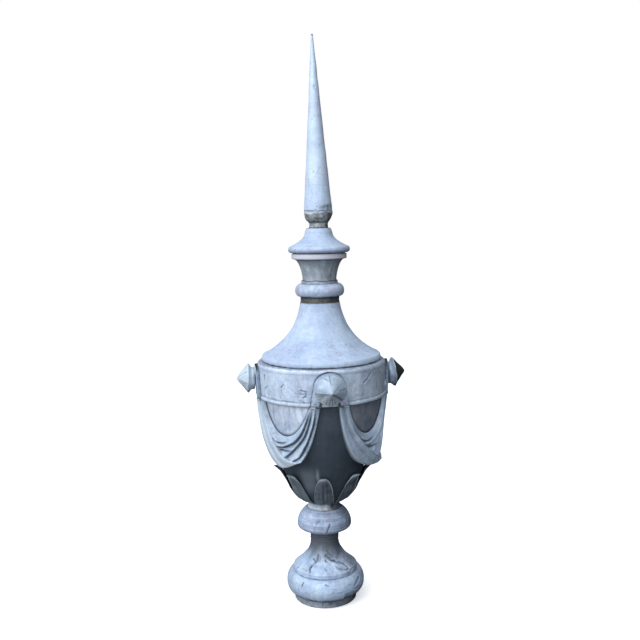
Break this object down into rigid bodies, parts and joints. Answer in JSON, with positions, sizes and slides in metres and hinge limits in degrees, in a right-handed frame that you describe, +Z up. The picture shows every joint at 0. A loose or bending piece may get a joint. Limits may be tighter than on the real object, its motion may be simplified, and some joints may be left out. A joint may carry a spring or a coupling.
{
  "type": "architectural spire",
  "caption": "Sheet-zinc roof spire: a draped urn on a turned foot, with side bosses, a leaf calyx, a bell-shaped lid and a long slender cone.",
  "frame": {"origin": "centre of the round foot's underside, where it stands on the roof", "axes": "+Z up along the urn's axis to the spire's tip, -Y towards the side seen in the picture, +X to the right"},
  "size_m": [0.661, 0.661, 2.1989],
  "materials": {
    "weathered_zinc": "matt weathered pale blue-grey zinc",
    "dark_zinc": "matt dark slate patina",
    "stained_zinc": "matt stained brown-grey zinc"
  },
  "bodies": {
    "root": {"foot_rim": "weathered_zinc", "base_moulding": "weathered_zinc", "flared_stem": "weathered_zinc", "foot_knop": "weathered_zinc", "collar": "weathered_zinc", "bowl": "dark_zinc", "calyx": "dark_zinc", "drum": "weathered_zinc", "strap_front": "weathered_zinc", "strap_right": "weathered_zinc", "strap_back": "weathered_zinc", "strap_left": "weathered_zinc", "boss_front": "weathered_zinc", "boss_right": "weathered_zinc", "boss_back": "weathered_zinc", "boss_left": "weathered_zinc", "swag_front_to_right": "weathered_zinc", "swag_right_to_back": "weathered_zinc", "swag_back_to_left": "weathered_zinc", "swag_left_to_front": "weathered_zinc", "bell": "weathered_zinc", "sleeve": "stained_zinc", "lid_knop": "weathered_zinc", "waisted_neck": "weathered_zinc", "hat": "weathered_zinc", "spire_cup": "stained_zinc", "spire": "weathered_zinc"}
  },
  "joints": []
}
